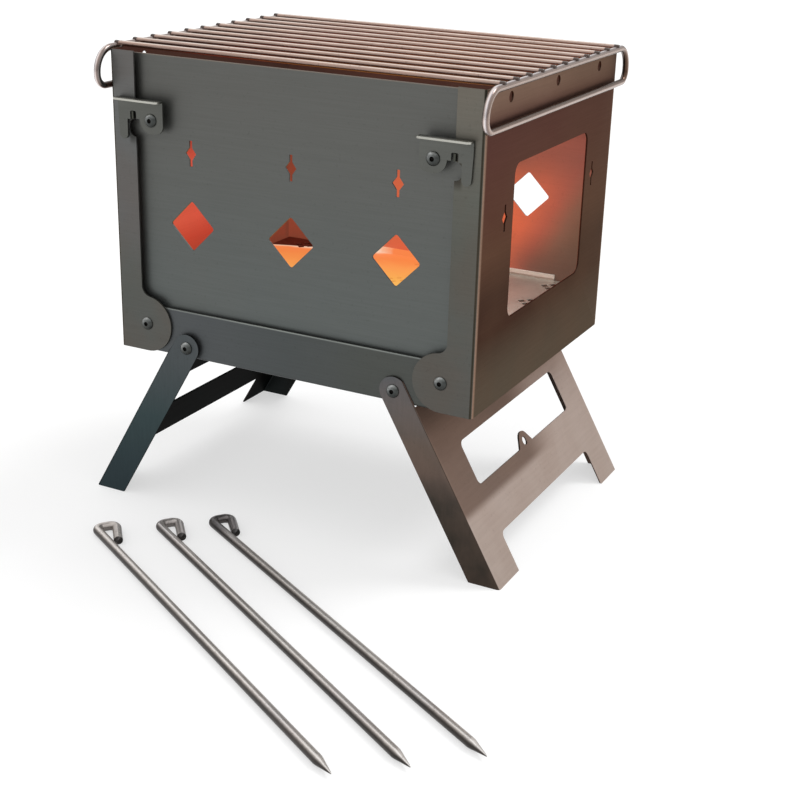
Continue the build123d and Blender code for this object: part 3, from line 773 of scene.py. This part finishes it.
grate = {
    "barRadius": 2.0 * mm, "barCount": 11, "barPitch": 22.0 * mm, "barHalfLength": 156.0 * mm,
    "barHeight": 355.8 * mm, "loopX": 154.0 * mm, "loopRadius": 2.5 * mm, "loopHalfWidth": 135.0 * mm,
    "loopTop": 353.8 * mm, "loopBottom": 327.1 * mm, "topCorner": 17.0 * mm, "bottomCorner": 9.0 * mm,
    "barSides": 20, "endStations": (1.0, 0.9995, 0.998, 0.994, 0.99), "endRadii": (0.55, 0.8, 0.95, 1.0, 1.0),
    "nextStation": 0.981, "middleStations": (-0.965, 0.965, 23),
    "barHeat": 0.26, "barHeatFall": 0.16, "barHeatOwn": 0.12, "shadedEnd": 3.2 * mm, "endShadeHeat": 1.2,
    "loopSides": 24, "cornerSteps": 14, "loopHeat": 0.1, "loopHeatRise": 0.25,
    "beadLong": 2.6 * mm, "beadWide": 2.9 * mm, "beadHigh": 1.5 * mm, "beadInset": 1.3 * mm, "beadLift": 0.8 * mm,
    "beadSpread": (0.85, 1.1), "beadTurn": 1.45, "beadRings": 8, "beadSides": 14,
    "beadShadeHeat": 0.8, "beadSide": (-0.8, -0.6, 0.0), "seed": 4,
}


# The places of the bars along y, evenly spaced about the middle
def barRows():
    return (np.arange(grate["barCount"]) - (grate["barCount"] - 1) / 2) * grate["barPitch"]


def buildGrateBars():
    stations = -np.array(grate["endStations"])
    stretch = np.concatenate([
        [-grate["nextStation"]], np.linspace(*grate["middleStations"]), [grate["nextStation"]]])
    x = np.concatenate([stations, stretch, -stations[::-1]]) * grate["barHalfLength"]
    ends = np.array(grate["endRadii"])
    radii = np.concatenate([ends, np.ones(len(stretch)), ends[::-1]]) * grate["barRadius"]
    rows = barRows()
    shapes = []
    for y in rows:
        path = np.stack([x, np.full_like(x, y), np.full_like(x, grate["barHeight"])], axis=1)
        shapes.append(barAlong(path, (0, 0, 1), radii, grate["barSides"], False))
    points, faces = joinShapes(shapes)
    # The heat is high over the fire and falls towards the ends; each bar has its own part in it.
    own = np.random.default_rng(grate["seed"]).uniform(-grate["barHeatOwn"], grate["barHeatOwn"], grate["barCount"])
    fall = grate["barHeatFall"] * np.abs(points[:, 0] / grate["barHalfLength"]) ** 3
    heat = grate["barHeat"] - fall + np.repeat(own, len(points) // len(rows))
    # The last millimetres of each bar get a high heat, as painted shade where the bars meet the loops
    heat[np.abs(points[:, 0]) > grate["barHalfLength"] - grate["shadedEnd"]] = grate["endShadeHeat"]
    section = sectionOf(len(points) // grate["barSides"], grate["barSides"]) * (-1, 1, 0)
    bars = meshPiece("grateBars", points, faces, {"heatAndShade": heat, "section": section})
    giveFinish(bars, "grate", "bar")
    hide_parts("grate_bars")


# Each weld bead is a flattened ball: centre + (long * cos(v) * cos(u), wide * cos(v) * sin(u), high * sin(v))
def buildWeldBeads():
    rng = np.random.default_rng(grate["seed"])
    rings, sides = grate["beadRings"], grate["beadSides"]
    u = anglesOf(sides)[None, :]
    v = np.linspace(-grate["beadTurn"], grate["beadTurn"], rings)[:, None]
    shapes = []
    for end in (-1, 1):
        for y in barRows():
            size = rng.uniform(*grate["beadSpread"], 3)
            points = np.stack([
                end * (grate["loopX"] - grate["beadInset"]) + grate["beadLong"] * size[0] * np.cos(v) * np.cos(u),
                y + grate["beadWide"] * size[1] * np.cos(v) * np.sin(u),
                grate["loopTop"] + grate["beadLift"] + grate["beadHigh"] * size[2] * np.sin(v) + 0 * u,
            ], axis=-1).reshape(-1, 3)
            shapes.append((points, ringFaces(rings, sides, False)))
    points, faces = joinShapes(shapes)
    # The beads get a high heat and one fixed place on the bands, as painted shade
    heat = np.full(len(points), grate["beadShadeHeat"])
    section = np.tile(grate["beadSide"], (len(points), 1))
    beads = meshPiece("weldBeads", points, faces, {"heatAndShade": heat, "section": section})
    giveFinish(beads, "grate", "bar")


def buildGrateLoop(sideName, side):
    wide, top, bottom = grate["loopHalfWidth"], grate["loopTop"], grate["loopBottom"]
    arcs = roundedPath(
        [(-wide, bottom), (wide, bottom), (wide, top), (-wide, top)],
        [grate["bottomCorner"]] * 2 + [grate["topCorner"]] * 2, grate["cornerSteps"]).reshape(-1, 2)
    path = np.column_stack([np.full(len(arcs), side * grate["loopX"]), arcs])
    points, faces = barAlong(path, (1, 0, 0), np.full(len(path), grate["loopRadius"]), grate["loopSides"], True)
    heat = grate["loopHeat"] + grate["loopHeatRise"] * (1 - np.abs(points[:, 1]) / wide)
    section = sectionOf(len(path), grate["loopSides"])[:, [1, 0, 2]] * (side, -1, 0)
    loop = meshPiece(sideName + "GrateLoop", points, faces, {"heatAndShade": heat, "section": section})
    giveFinish(loop, "grate", "loop")
    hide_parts(sideName + "_grate_loop")


buildGrateBars()
buildWeldBeads()
buildGrateLoop("left", -1)
buildGrateLoop("right", 1)
print("grate built")


# ---- roasting rods

rods = {
    "radius": 3.5 * mm, "length": 363.0 * mm, "pointLength": 16.0 * mm, "eyeWidth": 16.3 * mm, "eyeSlant": 2.0 * mm,
    "eyeLength": 27.5 * mm, "eyeGap": 7.3 * mm, "bendRadius": 5.0 * mm, "bendSteps": 14, "sides": 28,
    "coneAt": (0.0, 0.02, 0.06, 0.15, 0.35, 0.6, 0.85, 1.0, 1.08),
    "coneRadius": (0.02, 0.09, 0.15, 0.24, 0.42, 0.64, 0.88, 0.99, 1.0),
    "shaftStations": (0.09, 0.97, 24), "cutAt": (0.02 * mm, 0.05 * mm), "cutRadius": (0.93, 0.9),
    "heat": 0.3, "waveHeat": 0.1, "waveLength": 38 * mm,
    "copperHeat": 0.25, "copperAt": 70 * mm, "copperLength": 26 * mm,
    "pointHeat": -0.3, "coolLength": 14 * mm, "eyeShadeFrom": 0.82, "eyeShadeLength": 50 * mm,
}
# For each rod: where its point lies in millimetres, its turn in degrees, and the heat added at its eye as painted
# shade, deeper on the rods whose eyes lie nearer the box
rodTips = {
    "front": (184.0, -377.0, -30.1, 0.0),
    "middle": (220.6, -349.0, -30.3, 0.42),
    "back": (254.8, -317.6, -29.3, 0.62),
}


# The rod runs from its point back to the eye, which turns twice and slants back beside the shaft.
# Its point is a cone whose radius falls evenly and ends in a small dome.
def buildRod(rodName, tip):
    back = -rods["length"] + rods["radius"]
    corners = [
        (0, 0), (back, 0), (back + rods["eyeSlant"], rods["eyeWidth"]), (back + rods["eyeLength"], rods["eyeGap"])]
    arcs = roundedPath(corners, [0.0, rods["bendRadius"], rods["bendRadius"], 0.0], rods["bendSteps"])
    shaft = -np.linspace(*rods["shaftStations"]) * rods["length"]
    start = np.concatenate([-np.array(rods["coneAt"]) * rods["pointLength"], shaft])
    start = start[start > arcs[1][0, 0]]
    lastRun = np.linspace(0, 1, 6)[1:, None] * (np.array(corners[3]) - arcs[2][-1]) + arcs[2][-1]
    lastWay = (lastRun[-1] - lastRun[-2]) / np.linalg.norm(lastRun[-1] - lastRun[-2])
    cut = lastRun[-1] + np.array(rods["cutAt"])[:, None] * lastWay
    flat = np.concatenate([np.stack([start, 0 * start], axis=1), arcs[1], arcs[2], lastRun, cut])
    radii = np.full(len(flat), 1.0)
    radii[:len(rods["coneRadius"])] = rods["coneRadius"]
    radii[-2:] = rods["cutRadius"]
    tipX, tipY, turn, sootAndShade = tip
    angle = math.radians(turn)
    turned = flat @ np.array([[math.cos(angle), math.sin(angle)], [-math.sin(angle), math.cos(angle)]])
    path = np.column_stack([turned + np.array((tipX, tipY)) * mm, np.full(len(flat), rods["radius"])])
    points, faces = barAlong(path, (0, 0, 1), radii * rods["radius"], rods["sides"], False)
    along = np.repeat(np.linalg.norm(np.diff(flat, axis=0, prepend=flat[:1]), axis=1).cumsum(), rods["sides"])
    # Heat comes and goes along the shaft, with a copper stretch, a bare point, and painted shade towards the eye.
    heat = rods["heat"] + rods["waveHeat"] * np.sin(along / rods["waveLength"])
    heat += rods["copperHeat"] * np.exp(-((along - rods["copperAt"]) / rods["copperLength"]) ** 2)
    heat += rods["pointHeat"] * np.exp(-along / rods["coolLength"])
    heat += sootAndShade * np.clip((along - rods["eyeShadeFrom"] * rods["length"]) / rods["eyeShadeLength"], 0, 1)
    heat[-2 * rods["sides"]:] = 1.0
    section = sectionOf(len(flat), rods["sides"])
    rod = meshPiece(rodName + "RoastingRod", points, faces, {"heatAndShade": heat, "section": section})
    giveFinish(rod, rodName + "_rod", "rod")
    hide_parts("rod_" + rodName)


for rodName, tip in rodTips.items():
    buildRod(rodName, tip)
print("rods built")


# ---- rivets

# Lengths of rivets are in millimetres. The socket's corners are (radius, height over its floor) and
# (radius, depth under the dome's top).
rivets = {
    "headRadius": 5.0, "headHeight": 2.2, "rim": 0.7, "socketDepth": 1.4, "mouth": 1.95, "domeSteps": 9,
    "socketFloor": [(0.02, 0.0), (1.2, 0.0), (1.5, 0.15), (1.6, 0.5)], "socketEdge": [(1.62, 0.3), (1.7, 0.08)],
    "shank": 2.5, "tailRadius": 4.0, "steps": 44, "leanAngle": math.radians(125),
}
# For each rivet: x, z, the side it looks to, the faces that its head and its tail bear on, and its tail's height
rivetSets = {
    "ear_rivets": ("earRivets", "firebox", [(x, 148.5, y, 125.0, 121.7, 2.0) for x in (-125, 125) for y in (-1, 1)]),
    "leg_rivets": ("legRivets", "firebox", [
        (x, 135.5, y, face, 121.7, 2.0) for x, face in ((-88, 126.9), (88, 125.1)) for y in (-1, 1)]),
    "front_latch_rivets": ("frontLatchRivets", "front_wall", [
        (x, 305.5, -1, 126.9, 117.9, 1.5) for x in (-114, 114)]),
    "back_latch_rivets": ("backLatchRivets", "back_wall", [(x, 305.5, 1, 126.9, 117.9, 1.5) for x in (-114, 114)]),
}
plainSteels = {
    "front_latch_spacers": "latch", "back_latch_spacers": "latch", "leg_washers": "latch", "latch_keepers": "keeper",
}


# A rivet is its outline turned about its axis. The dome's height over radius r falls from its top at the
# socket's mouth to the rim as top - drop * ((r - mouth) / (rim radius - mouth)) squared.
def rivetOutline(headFace, tailFace, tail):
    top, mouth, wide, tailWide = (rivets[key] for key in ("headHeight", "mouth", "headRadius", "tailRadius"))
    spread = np.linspace(0, 1, rivets["domeSteps"])
    domeRadius = mouth + (wide - 0.25 - mouth) * spread
    domeHeight = headFace + top - (top - rivets["rim"] - 0.1) * spread ** 2
    floor = headFace + top - rivets["socketDepth"]
    before = [(radius, floor + height) for radius, height in rivets["socketFloor"]]
    before += [(radius, headFace + top - depth) for radius, depth in rivets["socketEdge"]]
    after = [
        (wide - 0.06, headFace + rivets["rim"] * 0.8), (wide, headFace + rivets["rim"] * 0.5),
        (wide, headFace + 0.05), (wide - 0.1, headFace), (rivets["shank"], headFace), (rivets["shank"], tailFace),
        (tailWide - 0.1, tailFace), (tailWide, tailFace - 0.15), (tailWide, tailFace - tail + 0.4),
        (tailWide - 0.4, tailFace - tail), (0.02, tailFace - tail)]
    outline = np.array(before + np.column_stack([domeRadius, domeHeight]).tolist() + after)
    hollow = np.zeros(len(outline))
    hollow[:len(before) - 1] = 1.0
    return outline, hollow


def buildRivetSet(nodeName, pieceName, bodyName, places):
    shapes, marks, leans = [], [], []
    steps = rivets["steps"]
    angle = anglesOf(steps)[None, :]
    for x, z, side, headFace, tailFace, tail in places:
        outline, hollow = rivetOutline(headFace, tailFace, tail)
        radius, reach = outline[:, :1], outline[:, 1:]
        points = np.stack([
            x + radius * np.cos(angle), side * reach + 0 * angle, z + radius * np.sin(angle)], axis=-1).reshape(-1, 3)
        shapes.append((points * mm, ringFaces(len(outline), steps, False)))
        marks.append(np.repeat(hollow, steps))
        # How far a point leans up and to the left: 0.5 + 0.5 * (radius / head radius) * cos(angle - leanAngle)
        leans.append((0.5 + 0.5 * radius / rivets["headRadius"] * np.cos(angle - rivets["leanAngle"])).ravel())
    points, faces = joinShapes(shapes)
    piece = meshPiece(pieceName, points, faces, {"hollow": np.concatenate(marks), "lean": np.concatenate(leans)})
    giveFinish(piece, bodyName, "rivet")
    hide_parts(nodeName)


for nodeName, (pieceName, bodyName, places) in rivetSets.items():
    buildRivetSet(nodeName, pieceName, bodyName, places)
for nodeName, steel in plainSteels.items():
    giveSteel(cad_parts[nodeName], steel)
print("rivets built")


# ---- floor, light and camera

studio = {
    "floorHeight": -0.1 * mm, "floorRadius": 9.0, "floorSides": 64, "floorDiffuse": "b8b8b8", "floorLift": 0.57,
    "worldLight": 0.9, "mirroredSpan": (-0.1, 0.8), "mirroredLow": 0.62, "mirroredHigh": 1.15,
    "sunStrength": 1.0, "sunTurn": (math.radians(-35), 0.0, math.radians(-40)), "sunSpread": math.radians(22),
}


def grey(value):
    return (value, value, value, 1)


# 1 for light paths of any of the named kinds, 0 for all others
def seenBy(tree, light, rays):
    seen = light[rays[0]]
    for ray in rays[1:]:
        seen = mathOf(tree, "MAXIMUM", seen, light[ray])
    return seen


# The floor takes soft shadows. A lift that only the eye and the reflections see brings it up to white.
def buildFloor():
    angle = anglesOf(studio["floorSides"])
    circle = np.column_stack([np.cos(angle), np.sin(angle), 0 * angle]) * studio["floorRadius"]
    mesh = bpy.data.meshes.new("floor")
    mesh.from_pydata((circle + (0, 0, studio["floorHeight"])).tolist(), [], [list(range(studio["floorSides"]))])
    floor = placeObject("floor", mesh)
    material = bpy.data.materials.new("floorWhite")
    material.use_nodes = True
    tree = material.node_tree
    tree.nodes.clear()
    light = addNode(tree, "ShaderNodeLightPath").outputs
    seen = seenBy(tree, light, ("Is Camera Ray", "Is Glossy Ray", "Is Transmission Ray"))
    matte = addNode(tree, "ShaderNodeBsdfDiffuse", {"Color": colour(studio["floorDiffuse"])})
    lift = addNode(tree, "ShaderNodeEmission", {"Strength": times(tree, seen, studio["floorLift"])})
    both = addNode(tree, "ShaderNodeAddShader", {0: matte.outputs[0], 1: lift.outputs[0]})
    addNode(tree, "ShaderNodeOutputMaterial", {"Surface": both.outputs[0]})
    mesh.materials.append(material)


# The world is white to the eye. Reflections see it a little darker near the horizon.
def buildWorld():
    world = bpy.data.worlds.new("studioWorld")
    world.use_nodes = True
    bpy.context.scene.world = world
    tree = world.node_tree
    tree.nodes.clear()
    light = addNode(tree, "ShaderNodeLightPath").outputs
    direction = axesOf(tree, addNode(tree, "ShaderNodeTexCoord").outputs["Generated"])
    height = rise(tree, direction[2], *studio["mirroredSpan"])
    mirrored = mixColour(tree, height, grey(studio["mirroredLow"]), grey(studio["mirroredHigh"]))
    shining = seenBy(tree, light, ("Is Glossy Ray", "Is Transmission Ray"))
    soft = mixColour(tree, shining, grey(studio["worldLight"]), mirrored)
    shown = mixColour(tree, light["Is Camera Ray"], soft, grey(1))
    background = addNode(tree, "ShaderNodeBackground", {"Color": shown, "Strength": 1.0})
    addNode(tree, "ShaderNodeOutputWorld", {"Surface": background.outputs[0]})


def buildSun():
    sun = bpy.data.lights.new("softSun", "SUN")
    sun.energy = studio["sunStrength"]
    sun.angle = studio["sunSpread"]
    placeObject("softSun", sun).rotation_euler = studio["sunTurn"]


view = {
    "place": (522.3 * mm, -977.9 * mm, 503.0 * mm), "turn": math.radians(-26.66), "down": math.radians(21.35),
    "roll": math.radians(1.73), "focalPixels": 1443.3, "framePixels": 800.0, "sensorWidth": 36.0,
    "clipStart": 10 * mm,
}


# The camera looks along its turn and down angles, and is rolled about its own line of sight
def buildCamera():
    turn, down, roll = view["turn"], view["down"], view["roll"]
    forward = Vector((math.sin(turn) * math.cos(down), math.cos(turn) * math.cos(down), -math.sin(down)))
    level = Vector((math.cos(turn), -math.sin(turn), 0))
    upright = level.cross(forward)
    right = level * math.cos(roll) + upright * math.sin(roll)
    up = upright * math.cos(roll) - level * math.sin(roll)
    lens = bpy.data.cameras.new("photoCamera")
    lens.sensor_width = view["sensorWidth"]
    lens.lens = lens.sensor_width * view["focalPixels"] / view["framePixels"]
    lens.clip_start = view["clipStart"]
    camera = placeObject("photoCamera", lens)
    turned = Matrix((right, up, -forward)).transposed().to_4x4()
    camera.matrix_world = Matrix.Translation(view["place"]) @ turned
    bpy.context.scene.camera = camera


buildFloor()
buildWorld()
buildSun()
buildCamera()
bpy.context.scene.view_settings.view_transform = "Standard"
print("studio built")
